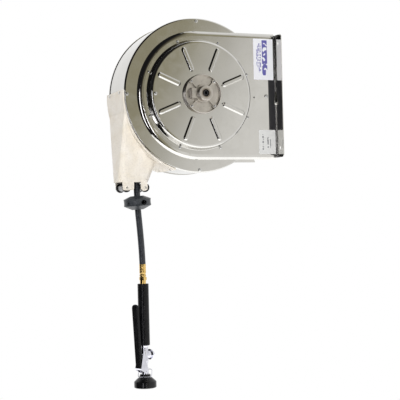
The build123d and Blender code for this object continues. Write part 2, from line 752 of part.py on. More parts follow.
def make_swivel():
    end_y = SWIVEL_START_Y + SWIVEL_LENGTH
    port = Plane(origin=(AXLE_X, end_y - 14, 0), x_dir=(1, 0, 0), z_dir=(0, 0, -1))
    with BuildPart() as swivel:
        add(ring(SWIVEL_START_Y, end_y, SWIVEL_RADIUS, 0))
        fillet(swivel.edges().group_by(Axis.Y)[-1], radius=4)
        with BuildSketch(port.offset(5)):
            Circle(12.5)
        extrude(amount=INLET_DROP - 18)
        with BuildSketch(port.offset(INLET_DROP - 14)):
            RegularPolygon(radius=17, side_count=6)
        extrude(amount=14)
        add(
            ring(SWIVEL_START_Y, end_y - 5, SHAFT_RADIUS + RUNNING_CLEARANCE, 0),
            mode=Mode.SUBTRACT,
        )
        with BuildSketch(port.offset(5)):
            Circle(6)
        extrude(amount=INLET_DROP - 5, mode=Mode.SUBTRACT)
        with BuildSketch(port.offset(INLET_DROP - INLET_THREAD_LENGTH)):
            Circle(INLET_THREAD_RADIUS)
        extrude(amount=INLET_THREAD_LENGTH, mode=Mode.SUBTRACT)
    return swivel.part


save(make_swivel(), "inlet_swivel")


# ---------------------------------------------------------------- the hose outlet
def make_chute(inset):
    """The tapering chute as a solid: the outside, or the inside with an inset."""
    depth = 2 * (CHUTE_TOP_HALF_DEPTH - inset)
    mouth_depth = 2 * (MOUTH_HALF_DEPTH - inset)
    top_middle = (CHUTE_TOP_LEFT + CHUTE_TOP_RIGHT) / 2
    mouth_middle = (MOUTH_LEFT + MOUTH_RIGHT) / 2
    with BuildPart() as chute:
        with BuildSketch(Plane.XY.offset(CHUTE_TOP_Z)):
            with Locations((AXLE_X + top_middle, 0)):
                RectangleRounded(
                    CHUTE_TOP_RIGHT - CHUTE_TOP_LEFT - 2 * inset,
                    depth,
                    CHUTE_TOP_CORNER - inset,
                )
        with BuildSketch(Plane.XY.offset(MOUTH_Z)):
            with Locations((AXLE_X + mouth_middle, 0)):
                RectangleRounded(
                    MOUTH_RIGHT - MOUTH_LEFT - 2 * inset, mouth_depth, MOUTH_CORNER - inset
                )
        loft()
    return chute.part


# roller tabs at the mouth: local x of the middle, bottom Z, width and corner radius
LEFT_TAB = (-196.2, -260.0, 32.5, TAB_CORNER)
RIGHT_TAB = (-150.5, -262.0, 19.0, 8.0)


def make_hose_outlet():
    with BuildPart() as outlet:
        # the saddle that wraps the case
        with BuildSketch(facing_front(0)):
            with BuildLine():
                sweep_angle = SADDLE_END - SADDLE_START
                outer = CenterArc((0, 0), SADDLE_OUTER_RADIUS, SADDLE_START, sweep_angle)
                inner = CenterArc((0, 0), SADDLE_INNER_RADIUS, SADDLE_START, sweep_angle)
                Line(outer @ 0, inner @ 0)
                Line(outer @ 1, inner @ 1)
            make_face()
        extrude(amount=SADDLE_HALF_DEPTH, both=True)
        add(make_chute(0))
        # tabs that hold the rollers, on both sides of the mouth, the left ones with a
        # raised square
        tab_top = MOUTH_Z + 6
        for plane in (facing_front(-MOUTH_HALF_DEPTH), facing_rear(MOUTH_HALF_DEPTH)):
            side = 1 if plane.x_dir.X > 0 else -1
            with BuildSketch(plane):
                for tab_x, bottom, width, corner in (LEFT_TAB, RIGHT_TAB):
                    with Locations((side * tab_x, (tab_top + bottom) / 2)):
                        RectangleRounded(width, tab_top - bottom, corner)
            extrude(amount=-TAB_SHEET)
            with BuildSketch(plane):
                with Locations((side * LEFT_TAB[0], ROLLER_Z + 4)):
                    RectangleRounded(17, 17, 4)
            extrude(amount=1.2)
        add(make_chute(CHUTE_WALL), mode=Mode.SUBTRACT)
        with BuildSketch(facing_front(0)):
            Circle(SADDLE_INNER_RADIUS)
        extrude(amount=CASE_RADIUS, both=True, mode=Mode.SUBTRACT)
        # bores for the roller pins
        with BuildSketch(facing_front(0)):
            with Locations(
                (LEFT_ROLLER_X - AXLE_X, ROLLER_Z), (RIGHT_ROLLER_X - AXLE_X, ROLLER_Z)
            ):
                Circle(ROLLER_PIN_RADIUS)
        extrude(amount=CASE_RADIUS, both=True, mode=Mode.SUBTRACT)
        with BuildSketch(Plane.YZ.offset(AXLE_X - 250)):
            with Locations((-CROSS_ROLLER_Y, CROSS_ROLLER_Z), (CROSS_ROLLER_Y, CROSS_ROLLER_Z)):
                Circle(CROSS_PIN_RADIUS)
        extrude(amount=150, mode=Mode.SUBTRACT)
    return outlet.part


save(make_hose_outlet(), "hose_outlet")


def make_saddle_screws():
    """Four screws through the saddle's edges into the case shroud."""
    with BuildPart() as group:
        for angle in (178.6, 249.4):
            x, z = polar(SADDLE_OUTER_RADIUS, angle)
            for side in (-1, 1):
                outward = Plane(
                    origin=(AXLE_X + x, side * SADDLE_SCREW_Y, z),
                    x_dir=(0, 1, 0),
                    z_dir=(x, 0, z),
                )
                with BuildSketch(outward):
                    Circle(3.4)
                extrude(amount=2.2)
    return group.part


save(make_saddle_screws(), "saddle_screws")


# ---------------------------------------------------------------- the guide rollers
def bar_along_y(x, z, radius, y_from, y_to, hole_radius=0.0):
    with BuildPart() as bar:
        with BuildSketch(Plane(origin=(x, y_from, z), x_dir=(-1, 0, 0), z_dir=(0, 1, 0))):
            Circle(radius)
            if hole_radius:
                Circle(hole_radius, mode=Mode.SUBTRACT)
        extrude(amount=y_to - y_from)
    return bar.part


def make_roller_sleeve(x):
    half_length = MOUTH_HALF_DEPTH - TAB_SHEET - 0.5 - ROLLER_BUSH_WIDTH
    return bar_along_y(x, ROLLER_Z, ROLLER_RADIUS, -half_length, half_length,
                       ROLLER_RADIUS - 1.5)


def make_roller_bushes(x):
    """The two flanged nylon bushes that a roller turns on."""
    outer_y = MOUTH_HALF_DEPTH - TAB_SHEET - 0.5
    inner_y = outer_y - ROLLER_BUSH_WIDTH
    bore = ROLLER_PIN_RADIUS + RUNNING_CLEARANCE
    with BuildPart() as bushes:
        for side in (-1, 1):
            flange = sorted((side * inner_y, side * outer_y))
            spigot = sorted((side * (inner_y - 8), side * inner_y))
            add(bar_along_y(x, ROLLER_Z, ROLLER_BUSH_RADIUS, *flange, bore))
            add(bar_along_y(x, ROLLER_Z, ROLLER_RADIUS - 1.5, *spigot, bore))
    return bushes.part


def make_roller_pins():
    end_y = MOUTH_HALF_DEPTH + 1.2
    with BuildPart() as pins:
        for x in (LEFT_ROLLER_X, RIGHT_ROLLER_X):
            add(bar_along_y(x, ROLLER_Z, ROLLER_PIN_RADIUS, -end_y, end_y))
    return pins.part


def make_cross_roller(y):
    left, right = AXLE_X - 207.0, AXLE_X - 145.0
    with BuildPart() as roller:
        with BuildSketch(Plane(origin=(left, y, CROSS_ROLLER_Z), z_dir=(1, 0, 0))):
            Circle(CROSS_ROLLER_RADIUS)
            Circle(CROSS_PIN_RADIUS + RUNNING_CLEARANCE, mode=Mode.SUBTRACT)
        extrude(amount=right - left)
    return roller.part


def make_cross_pins():
    left, right = AXLE_X - 217.0, AXLE_X - 136.0
    with BuildPart() as pins:
        for y in (-CROSS_ROLLER_Y, CROSS_ROLLER_Y):
            with BuildSketch(Plane(origin=(left, y, CROSS_ROLLER_Z), z_dir=(1, 0, 0))):
                Circle(CROSS_PIN_RADIUS)
            extrude(amount=right - left)
    return pins.part


for name, roller_x in (("left", LEFT_ROLLER_X), ("right", RIGHT_ROLLER_X)):
    save(make_roller_sleeve(roller_x), f"roller_{name}")
    save(make_roller_bushes(roller_x), f"roller_{name}_bushes")
save(make_roller_pins(), "roller_pins")
save(make_cross_roller(-CROSS_ROLLER_Y), "roller_front")
save(make_cross_roller(CROSS_ROLLER_Y), "roller_back")
save(make_cross_pins(), "cross_roller_pins")


# ---------------------------------------------------------------- the hanging hose
def make_hose():
    radii = largest_radii(HOSE_ROUTE)
    print("hose arc radii:", [round(radius) for radius in radii])
    with BuildPart() as hose:
        with BuildLine() as path:
            FilletPolyline(*HOSE_ROUTE, radius=radii)
        with BuildSketch(Plane(origin=path.line @ 0, z_dir=path.line % 0)):
            Circle(HOSE_RADIUS)
        sweep(path=path.line)
    length = path.wires()[0].length
    section_volume = pi * HOSE_RADIUS**2 * length
    print("hose length:", round(length, 1))
    print("volume against section x length:", round(hose.part.volume / section_volume, 4))
    return hose.part


def make_inner_run():
    """The straight stretch of hose between the drum and the rollers."""
    with BuildPart() as run:
        with BuildSketch(Plane(origin=(HOSE_X, HOSE_Y, HOSE_EXIT_Z), z_dir=(0, 0, 1))):
            Circle(HOSE_RADIUS)
        extrude(amount=INNER_RUN_TOP_Z - HOSE_EXIT_Z)
    return run.part


save(make_hose(), "hose")
save(make_inner_run(), "hose_inner_run")

STOPPER_CENTRE = (AXLE_X - 164.5, HOSE_Y, -294.5)
STOPPER_TILT = (-0.055, 0, 1)   # the hose's direction there
STOPPER_SEAM = (0.914, -0.407, 0)
STOPPER_RADIUS = 38.0
STOPPER_HALF_LENGTH = 19.0
STOPPER_HALF_GAP = 0.4          # half of the gap between the two halves
STOPPER_SCREW_OFFSET = 21.0
STOPPER_SCREW_RADIUS = 2.5
STOPPER_COUNTERBORE_RADIUS = 7.0
STOPPER_SEAT = 14.0             # from the seam to the face under a screw's head
STOPPER_FRAME = Plane(origin=STOPPER_CENTRE, x_dir=STOPPER_SEAM, z_dir=STOPPER_TILT)
SEAM_PLANE = Plane(
    origin=STOPPER_CENTRE, x_dir=STOPPER_FRAME.x_dir, z_dir=-STOPPER_FRAME.y_dir
)


def make_stopper_half(front):
    """One half of the ball stop that is clamped on the hose."""
    axis = Axis(STOPPER_CENTRE, STOPPER_FRAME.z_dir)
    with BuildPart() as half:
        with BuildSketch(SEAM_PLANE):
            with BuildLine():
                rim = ThreePointArc(
                    (STOPPER_RADIUS, -8.5), (STOPPER_RADIUS - 1.2, 1.0), (STOPPER_RADIUS, 10.5)
                )
                Polyline(
                    rim @ 1,
                    (18, STOPPER_HALF_LENGTH),
                    (HOSE_RADIUS, STOPPER_HALF_LENGTH),
                    (HOSE_RADIUS, -STOPPER_HALF_LENGTH),
                    (15.5, -STOPPER_HALF_LENGTH),
                    rim @ 0,
                )
            make_face()
        revolve(axis=axis)
        if front:
            split(bisect_by=SEAM_PLANE.offset(STOPPER_HALF_GAP), keep=Keep.TOP)
        else:
            split(bisect_by=SEAM_PLANE.offset(-STOPPER_HALF_GAP), keep=Keep.BOTTOM)
        head_side = 1 if front else -1
        for offset_x in (STOPPER_SCREW_OFFSET, -STOPPER_SCREW_OFFSET):
            with BuildSketch(SEAM_PLANE.offset(-STOPPER_RADIUS)):
                with Locations((offset_x, 0)):
                    Circle(STOPPER_SCREW_RADIUS)
            extrude(amount=2 * STOPPER_RADIUS, mode=Mode.SUBTRACT)
        with BuildSketch(SEAM_PLANE.offset(head_side * STOPPER_SEAT)):
            with Locations((head_side * STOPPER_SCREW_OFFSET, 0)):
                Circle(STOPPER_COUNTERBORE_RADIUS)
        extrude(amount=head_side * STOPPER_RADIUS, mode=Mode.SUBTRACT)
    return half.part


def make_stopper_screws():
    """Two socket-head screws, one from each side."""
    head_height = 4.5
    with BuildPart() as group:
        for side in (1, -1):
            with BuildSketch(SEAM_PLANE.offset(side * STOPPER_SEAT)):
                with Locations((side * STOPPER_SCREW_OFFSET, 0)):
                    Circle(4.4)
            extrude(amount=side * head_height)
            with BuildSketch(SEAM_PLANE.offset(side * (STOPPER_SEAT + head_height))):
                with Locations((side * STOPPER_SCREW_OFFSET, 0)):
                    RegularPolygon(radius=2.4, side_count=6)
            extrude(amount=side * -2.5, mode=Mode.SUBTRACT)
            with BuildSketch(SEAM_PLANE.offset(side * STOPPER_SEAT)):
                with Locations((side * STOPPER_SCREW_OFFSET, 0)):
                    Circle(STOPPER_SCREW_RADIUS)
            extrude(amount=side * -30)
    return group.part


save(make_stopper_half(front=True), "stopper_front")
save(make_stopper_half(front=False), "stopper_back")
save(make_stopper_screws(), "stopper_screws")


# ---------------------------------------------------------------- the spray valve
# Everything here hangs on the tool's upright axis. Outward is towards the lever.
OUTWARD = Vector(cos(radians(LEVER_AZIMUTH)), sin(radians(LEVER_AZIMUTH)), 0)
ACROSS = Vector(-sin(radians(LEVER_AZIMUTH)), cos(radians(LEVER_AZIMUTH)), 0)
TOOL_AXIS = Axis((TOOL_X, HOSE_Y, 0), (0, 0, 1))
# local x is the distance from the tool's axis towards the lever, local y is Z
TOOL_SECTION = Plane(origin=(TOOL_X, HOSE_Y, 0), x_dir=OUTWARD, z_dir=-ACROSS)


def tool_level(z):
    """A level plane on the tool's axis, whose x points towards the lever."""
    return Plane(origin=(TOOL_X, HOSE_Y, z), x_dir=OUTWARD, z_dir=(0, 0, 1))


def tool_turned(points):
    """A solid turned about the tool's axis from a (radius, Z) outline."""
    with BuildPart() as piece:
        with BuildSketch(TOOL_SECTION):
            with BuildLine():
                Polyline(*points, close=True)
            make_face()
        revolve(axis=TOOL_AXIS)
    return piece.part


FERRULE_BOTTOM_Z = -498.0
NUT_BOTTOM_Z = -508.5
GRIP_TOP_Z, GRIP_BOTTOM_Z, GRIP_RADIUS = -518.5, -688.5, 15.5
BODY_RADIUS, BODY_TOP_Z, BODY_BOTTOM_Z = 10.0, -694.0, -768.0
STEM_Z = -715.6
BONNET_RADIUS = 14.5
PIVOT_OUT, PIVOT_Z = 5.0, -760.0
PIVOT_PIN_RADIUS = 2.0
LEVER_TOP_OUT, LEVER_TOP_Z = 31.0, -574.0
LEVER_FOOT_OUT, LEVER_FOOT_Z = 21.0, -750.0
LEVER_THICKNESS, LEVER_WIDTH = 11.0, 20.6
LEVER_EDGE_RADIUS = 3.5
CHEEK_GAP, CHEEK_SHEET = 21.0, 2.0
HEAD_RADIUS, HEAD_BOTTOM_Z = 31.0, -805.0


def make_ferrule():
    with BuildPart() as ferrule:
        add(tool_turned([
            (0, TOOL_TOP_Z), (8.9, TOOL_TOP_Z), (9.3, TOOL_TOP_Z - 1), (9.3, -489),
            (8.2, -490.5), (8.2, -493), (9.3, -494.5), (9.3, FERRULE_BOTTOM_Z),
            (0, FERRULE_BOTTOM_Z),
        ]))
        for groove_z in (-471, -477, -483):
            with BuildSketch(TOOL_SECTION):
                with Locations((9.5, groove_z)):
                    Circle(0.7)
            revolve(axis=TOOL_AXIS, mode=Mode.SUBTRACT)
    return ferrule.part


def make_coupling_nut():
    with BuildPart() as nut:
        with BuildSketch(tool_level(NUT_BOTTOM_Z)):
            RegularPolygon(radius=11.0, side_count=6)
        extrude(amount=8.5)
        add(tool_turned([
            (0, FERRULE_BOTTOM_Z), (8.0, FERRULE_BOTTOM_Z), (8.0, -500), (0, -500),
        ]))
        add(tool_turned([
            (0, NUT_BOTTOM_Z), (8.6, NUT_BOTTOM_Z), (8.6, GRIP_TOP_Z), (0, GRIP_TOP_Z),
        ]))
    return nut.part


def make_grip():
    return tool_turned([
        (8, GRIP_TOP_Z), (GRIP_RADIUS - 1, GRIP_TOP_Z), (GRIP_RADIUS, GRIP_TOP_Z - 1.2),
        (GRIP_RADIUS, GRIP_BOTTOM_Z + 1.2), (GRIP_RADIUS - 1, GRIP_BOTTOM_Z),
        (8, GRIP_BOTTOM_Z),
    ])


def make_grip_tube():
    return tool_turned([
        (5.5, GRIP_TOP_Z), (8, GRIP_TOP_Z), (8, GRIP_BOTTOM_Z),
        (11, GRIP_BOTTOM_Z), (11, -690), (BODY_RADIUS, BODY_TOP_Z), (5.5, BODY_TOP_Z),
    ])


def make_valve_body():
    stem_plane = Plane(origin=(TOOL_X, HOSE_Y, STEM_Z), x_dir=ACROSS, z_dir=-OUTWARD)
    with BuildPart() as body:
        add(tool_turned([
            (0, BODY_TOP_Z), (BODY_RADIUS, BODY_TOP_Z), (10.2, -700), (10.2, -731),
            (8.0, -742), (8.0, -748), (BODY_RADIUS, -751), (BODY_RADIUS, BODY_BOTTOM_Z),
            (0, BODY_BOTTOM_Z),
        ]))
        # the cross bore's boss, out to the bonnet and out to the lever
        with BuildSketch(stem_plane):
            Circle(10.5)
        extrude(amount=19)
        with BuildSketch(stem_plane):
            Circle(6.0)
        extrude(amount=-14)
        with BuildSketch(stem_plane.offset(-14)):
            Circle(3 + RUNNING_CLEARANCE)
        extrude(amount=24, mode=Mode.SUBTRACT)
        # the bore for the lever's pivot pin
        pivot_plane = Plane(
            origin=Vector(TOOL_X, HOSE_Y, PIVOT_Z) + OUTWARD * PIVOT_OUT,
            x_dir=OUTWARD,
            z_dir=ACROSS,
        )
        with BuildSketch(pivot_plane.offset(-20)):
            Circle(PIVOT_PIN_RADIUS + RUNNING_CLEARANCE)
        extrude(amount=40, mode=Mode.SUBTRACT)
    return body.part


def make_bonnet():
    """The domed cap over the valve's spring, opposite the lever."""
    centre = Vector(TOOL_X, HOSE_Y, STEM_Z) - OUTWARD * 20.5
    face = Plane(origin=Vector(TOOL_X, HOSE_Y, STEM_Z) - OUTWARD * 19, z_dir=-OUTWARD)
    with BuildPart() as bonnet:
        with BuildSketch(face):
            Circle(BONNET_RADIUS)
        extrude(amount=6)
        dome_edge = bonnet.edges().filter_by(GeomType.CIRCLE).sort_by(
            Axis(centre, -OUTWARD)
        )[-1]
        fillet(dome_edge, radius=4.5)
        with BuildSketch(face.offset(6)):
            RegularPolygon(radius=8.5, side_count=6)
        extrude(amount=6)
    return bonnet.part


def make_valve_stem():
    start = Vector(TOOL_X, HOSE_Y, STEM_Z) - OUTWARD * 8
    with BuildPart() as stem:
        with BuildSketch(Plane(origin=start, z_dir=OUTWARD)):
            Circle(3.0)
        extrude(amount=8 + lever_inner_face(STEM_Z) - 0.35)
    return stem.part


def lever_inner_face(z):
    """How far from the axis the lever's inner face is at that height."""
    slope = (LEVER_TOP_OUT - LEVER_FOOT_OUT) / (LEVER_TOP_Z - LEVER_FOOT_Z)
    return LEVER_FOOT_OUT + slope * (z - LEVER_FOOT_Z) - LEVER_THICKNESS / 2


def make_lever_sleeve():
    """The black sleeve that the hand squeezes."""
    half = LEVER_THICKNESS / 2
    with BuildPart() as sleeve:
        with BuildSketch(TOOL_SECTION.offset(-LEVER_WIDTH / 2)):
            with BuildLine():
                Polyline(
                    (LEVER_TOP_OUT + half, LEVER_TOP_Z - half),
                    (LEVER_FOOT_OUT + half, LEVER_FOOT_Z),
                    (LEVER_FOOT_OUT - half, LEVER_FOOT_Z),
                    (LEVER_TOP_OUT - half, LEVER_TOP_Z - half),
                )
                ThreePointArc(
                    (LEVER_TOP_OUT - half, LEVER_TOP_Z - half),
                    (LEVER_TOP_OUT + 0.3, LEVER_TOP_Z),
                    (LEVER_TOP_OUT + half, LEVER_TOP_Z - half),
                )
            make_face()
        extrude(amount=LEVER_WIDTH)
        # seen from outside, its top end is a half circle
        outline = Plane(
            origin=(TOOL_X, HOSE_Y, 0), x_dir=ACROSS, z_dir=ACROSS.cross(Vector(0, 0, 1))
        )
        half_width = LEVER_WIDTH / 2
        shoulder_z = LEVER_TOP_Z - half_width
        with BuildSketch(outline):
            with BuildLine():
                Polyline(
                    (-half_width, shoulder_z),
                    (-half_width, LEVER_FOOT_Z),
                    (half_width, LEVER_FOOT_Z),
                    (half_width, shoulder_z),
                )
                ThreePointArc(
                    (half_width, shoulder_z), (0, LEVER_TOP_Z), (-half_width, shoulder_z)
                )
            make_face()
        extrude(amount=LEVER_TOP_OUT + LEVER_WIDTH, both=True, mode=Mode.INTERSECT)
        long_edges = sleeve.edges().filter_by(lambda edge: edge.length > 100)
        fillet(long_edges, radius=LEVER_EDGE_RADIUS)
        add(make_lever_core(), mode=Mode.SUBTRACT)
    return sleeve.part


def make_lever_core():
    """The flat bar inside the sleeve, as a solid."""
    half = 1.5
    with BuildPart() as core:
        with BuildSketch(TOOL_SECTION.offset(-5)):
            with BuildLine():
                Polyline(
                    (LEVER_TOP_OUT + half - 0.5, LEVER_TOP_Z - 12),
                    (LEVER_FOOT_OUT + half, LEVER_FOOT_Z - 1),
                    (LEVER_FOOT_OUT - half, LEVER_FOOT_Z - 1),
                    (LEVER_TOP_OUT - half - 0.5, LEVER_TOP_Z - 12),
                    close=True,
                )
            make_face()
        extrude(amount=10)
    return core.part


def make_lever():
    """The chromed lever: a bar up the sleeve, a web and two cheeks down to the pivot."""
    pivot = (PIVOT_OUT, PIVOT_Z)
    with BuildPart() as lever:
        add(make_lever_core())
        # the web under the sleeve
        with BuildSketch(TOOL_SECTION.offset(-CHEEK_GAP / 2 - CHEEK_SHEET)):
            with BuildLine():
                Polyline(
                    (LEVER_FOOT_OUT + 5, LEVER_FOOT_Z - 0.2),
                    (LEVER_FOOT_OUT + 4, LEVER_FOOT_Z - 4.5),
                    (LEVER_FOOT_OUT - 7, LEVER_FOOT_Z - 4.5),
                    (LEVER_FOOT_OUT - 7, LEVER_FOOT_Z - 0.2),
                    close=True,
                )
            make_face()
        extrude(amount=CHEEK_GAP + 2 * CHEEK_SHEET)
        for side in (-1, 1):
            with BuildSketch(TOOL_SECTION.offset(side * CHEEK_GAP / 2)):
                with BuildLine():
                    Polyline(
                        (LEVER_FOOT_OUT + 4, LEVER_FOOT_Z - 0.2),
                        (LEVER_FOOT_OUT + 3, LEVER_FOOT_Z - 5),
                        (PIVOT_OUT + 3, PIVOT_Z - 5.5),
                        (PIVOT_OUT - 4, PIVOT_Z - 3),
                        (PIVOT_OUT - 3, PIVOT_Z + 7),
                        (PIVOT_OUT + 5, -703),
                        (PIVOT_OUT + 10, -703),
                        close=True,
                    )
                make_face()
                with Locations(pivot):
                    Circle(5.5)
                    Circle(PIVOT_PIN_RADIUS, mode=Mode.SUBTRACT)
            extrude(amount=side * CHEEK_SHEET)
    return lever.part


def make_lever_pin():
    half = CHEEK_GAP / 2 + CHEEK_SHEET + 0.8
    start = Vector(TOOL_X, HOSE_Y, PIVOT_Z) + OUTWARD * PIVOT_OUT - ACROSS * half
    with BuildPart() as pin:
        with BuildSketch(Plane(origin=start, x_dir=OUTWARD, z_dir=ACROSS)):
            Circle(PIVOT_PIN_RADIUS)
        extrude(amount=2 * half)
    return pin.part


def make_spray_head():
    with BuildPart() as head:
        add(tool_turned([
            (0, BODY_BOTTOM_Z), (12.5, BODY_BOTTOM_Z), (15.3, -770), (15.3, -775),
            (20, -778.5), (HEAD_RADIUS - 1.5, -787), (HEAD_RADIUS, -789),
            (HEAD_RADIUS, HEAD_BOTTOM_Z + 1.5), (HEAD_RADIUS - 1.5, HEAD_BOTTOM_Z),
            (HEAD_RADIUS - 4.5, HEAD_BOTTOM_Z), (HEAD_RADIUS - 4.5, -799), (0, -799),
        ]))
    return head.part


def make_spray_face():
    """The drilled steel plate in the head's mouth."""
    with BuildPart() as plate:
        with BuildSketch(tool_level(-801.5)):
            Circle(HEAD_RADIUS - 4.5)
            for circle_radius, count in ((8, 6), (15, 12), (21.5, 18)):
                with PolarLocations(circle_radius, count):
                    Circle(0.9, mode=Mode.SUBTRACT)
        extrude(amount=2.5)
    return plate.part


HOLD_RING_HALF_WIDTH, HOLD_RING_HALF_DEPTH, HOLD_RING_WIRE = 18.5, 19.5, 1.1
HOLD_RING_Z, HOLD_RING_TILT = -765.5, 25.0
HOLD_RING_AZIMUTH = -22.0       # the level line that the ring tilts about


def make_hold_ring():
    """The loose wire ring that keeps the lever squeezed, hanging round the neck."""
    tilt = radians(HOLD_RING_TILT)
    hinge_line = Vector(cos(radians(HOLD_RING_AZIMUTH)), sin(radians(HOLD_RING_AZIMUTH)), 0)
    behind = Vector(-hinge_line.Y, hinge_line.X, 0)
    frame = Plane(
        origin=(TOOL_X, HOSE_Y, HOLD_RING_Z),
        x_dir=hinge_line,
        z_dir=Vector(0, 0, cos(tilt)) - behind * sin(tilt),
    )
    with BuildSketch(frame) as outline:
        RectangleRounded(2 * HOLD_RING_HALF_WIDTH, 2 * HOLD_RING_HALF_DEPTH, 7)
    path = outline.sketch.wires()[0]
    with BuildPart() as wire:
        with BuildSketch(Plane(origin=path @ 0, z_dir=path % 0)):
            Circle(HOLD_RING_WIRE)
        sweep(path=path)
    return wire.part


save(make_ferrule(), "hose_ferrule")
save(make_coupling_nut(), "coupling_nut")
save(make_grip(), "grip_sleeve")
save(make_grip_tube(), "grip_tube")
save(make_valve_body(), "valve_body")
save(make_bonnet(), "valve_bonnet")
save(make_valve_stem(), "valve_stem")
save(make_lever(), "lever")
save(make_lever_sleeve(), "lever_sleeve")
save(make_lever_pin(), "lever_pin")
save(make_spray_head(), "spray_head")
save(make_spray_face(), "spray_face")
save(make_hold_ring(), "hold_ring")
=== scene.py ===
import json
from math import cos, pi, radians, sin

import bpy
from mathutils import Matrix, Vector


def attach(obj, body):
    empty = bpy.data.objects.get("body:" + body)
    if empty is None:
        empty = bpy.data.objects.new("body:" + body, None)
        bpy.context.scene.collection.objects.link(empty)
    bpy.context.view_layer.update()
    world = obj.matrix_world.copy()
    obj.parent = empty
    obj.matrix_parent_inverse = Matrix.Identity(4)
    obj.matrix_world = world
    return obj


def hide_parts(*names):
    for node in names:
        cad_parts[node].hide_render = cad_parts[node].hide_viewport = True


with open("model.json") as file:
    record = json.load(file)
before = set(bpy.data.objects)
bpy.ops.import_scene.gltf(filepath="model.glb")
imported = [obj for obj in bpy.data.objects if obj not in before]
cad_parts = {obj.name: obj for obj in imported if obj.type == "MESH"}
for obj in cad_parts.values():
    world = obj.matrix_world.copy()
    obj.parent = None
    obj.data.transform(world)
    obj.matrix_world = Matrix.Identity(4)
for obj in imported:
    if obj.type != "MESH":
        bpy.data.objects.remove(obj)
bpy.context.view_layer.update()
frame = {"nodes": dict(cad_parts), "record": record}

# All places and sizes are in metres, in the frame's axes.
AXLE_X = -0.238
HOSE_Y = -0.0125         # the upright plane through the hanging hose
HOSE_DIAMETER = 0.0174
TOOL_X = AXLE_X - 0.1538
WHITE = (1.0, 1.0, 1.0, 1.0)


# ---------------------------------------------------------------- camera
CAMERA_PLACE = Vector((-1.34484, -2.83146, -0.34013))
VIEW_DIRECTION = Vector((0.37178, 0.92817, 0.01655)).normalized()
CAMERA_ROLL = radians(-1.408)
SENSOR_WIDTH, FOCAL_LENGTH = 36.0, 96.47     # millimetres


def make_camera():
    """The photograph's viewing angle: from the left, level, with a slight roll."""
    right = VIEW_DIRECTION.cross(Vector((0, 0, 1))).normalized()
    up = right.cross(VIEW_DIRECTION)
    tilted_right = right * cos(CAMERA_ROLL) + up * sin(CAMERA_ROLL)
    tilted_up = up * cos(CAMERA_ROLL) - right * sin(CAMERA_ROLL)
    data = bpy.data.cameras.new("camera")
    data.sensor_width = SENSOR_WIDTH
    data.lens = FOCAL_LENGTH
    camera = bpy.data.objects.new("camera", data)
    turn = Matrix((tilted_right, tilted_up, -VIEW_DIRECTION)).transposed().to_4x4()
    camera.matrix_world = Matrix.Translation(CAMERA_PLACE) @ turn
    bpy.context.scene.collection.objects.link(camera)
    bpy.context.scene.camera = camera


make_camera()


# ---------------------------------------------------------------- node helpers
class NodeTree:
    """A node tree under construction, with short ways to add to it."""

    def __init__(self, tree):
        self.tree = tree

    def add(self, kind, **settings):
        node = self.tree.nodes.new(kind)
        for key, value in settings.items():
            setattr(node, key, value)
        return node

    def join(self, output, socket):
        self.tree.links.new(output, socket)

    def math(self, operation, *values):
        """A sum or test on numbers or on other nodes' outputs."""
        node = self.add("ShaderNodeMath", operation=operation)
        for value, socket in zip(values, node.inputs):
            if hasattr(value, "is_output"):
                self.join(value, socket)
            else:
                socket.default_value = value
        return node.outputs[0]

    def blend(self, factor, first, second):
        """A colour between two colours or colour outputs."""
        node = self.add("ShaderNodeMix", data_type="RGBA")
        self.join(factor, node.inputs[0])
        for value, socket in ((first, node.inputs[6]), (second, node.inputs[7])):
            if hasattr(value, "is_output"):
                self.join(value, socket)
            else:
                socket.default_value = (*value, 1.0)
        return node.outputs[2]


class Shader(NodeTree):
    """A surface material under construction."""

    def __init__(self, name):
        self.material = bpy.data.materials.new(name)
        self.material.use_nodes = True
        super().__init__(self.material.node_tree)
        self.surface = self.tree.nodes["Principled BSDF"]
        self.place = self.add("ShaderNodeTexCoord").outputs["Object"]

    def stretched(self, scale):
        """The object's coordinates, scaled unevenly."""
        mapping = self.add("ShaderNodeMapping")
        mapping.inputs["Scale"].default_value = scale
        self.join(self.place, mapping.inputs["Vector"])
        return mapping.outputs["Vector"]

    def noise(self, scale, detail=3.0, where=None, distortion=0.0):
        """Cloudy noise from 0 to 1, with scale in grains to the metre."""
        node = self.add("ShaderNodeTexNoise")
        node.inputs["Scale"].default_value = scale
        node.inputs["Detail"].default_value = detail
        node.inputs["Distortion"].default_value = distortion
        self.join(where or self.place, node.inputs["Vector"])
        return node.outputs["Fac"]

    def spread(self, factor, low, high, start=0.3, end=0.7):
        """Maps a factor from start..end to low..high."""
        node = self.add("ShaderNodeMapRange")
        for name, value in (
            ("From Min", start), ("From Max", end), ("To Min", low), ("To Max", high)
        ):
            node.inputs[name].default_value = value
        self.join(factor, node.inputs["Value"])
        return node.outputs["Result"]

    def bump(self, height, strength, distance, normal=None):
        """A relief from a height, laid over another relief where one is given."""
        node = self.add("ShaderNodeBump")
        node.inputs["Strength"].default_value = strength
        node.inputs["Distance"].default_value = distance
        self.join(height, node.inputs["Height"])
        if normal:
            self.join(normal, node.inputs["Normal"])
        return node.outputs["Normal"]

    def finish(self, colour, roughness, normal, metallic=0.0, ior=1.5):
        sockets = self.surface.inputs
        self.join(colour, sockets["Base Color"])
        self.join(roughness, sockets["Roughness"])
        self.join(normal, sockets["Normal"])
        sockets["Metallic"].default_value = metallic
        sockets["IOR"].default_value = ior
        return self.material


